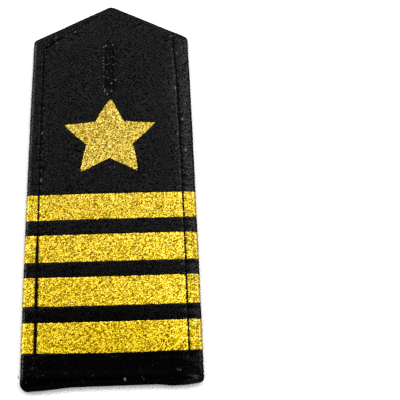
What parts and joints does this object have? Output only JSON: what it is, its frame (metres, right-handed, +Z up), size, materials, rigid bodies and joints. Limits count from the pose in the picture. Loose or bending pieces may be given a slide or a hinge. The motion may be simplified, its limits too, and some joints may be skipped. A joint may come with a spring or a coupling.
{
  "type": "costume shoulder board epaulette",
  "caption": "Flat padded shoulder board with a pointed end, black cloth cover with topstitched margin, gold stripes, a gold star and a worked buttonhole.",
  "frame": {"origin": "centre of the bounding box, on the flat underside", "axes": "+Y along the board to its pointed end, +Z up out of the decorated side, +X across"},
  "size_m": [0.0506, 0.1325, 0.0034],
  "materials": {
    "black_cloth": "fine black twill, slightly glossy",
    "gold_weave": "metallic gold crepe weave",
    "gold_star": "metallic gold crepe weave",
    "black_thread": "black sewing thread"
  },
  "bodies": {
    "root": {"board": "black_cloth", "stripe_1": "gold_weave", "stripe_2": "gold_weave", "stripe_3": "gold_weave", "stripe_4": "gold_weave", "star": "gold_star", "buttonhole_stitching": "black_thread"}
  },
  "joints": []
}
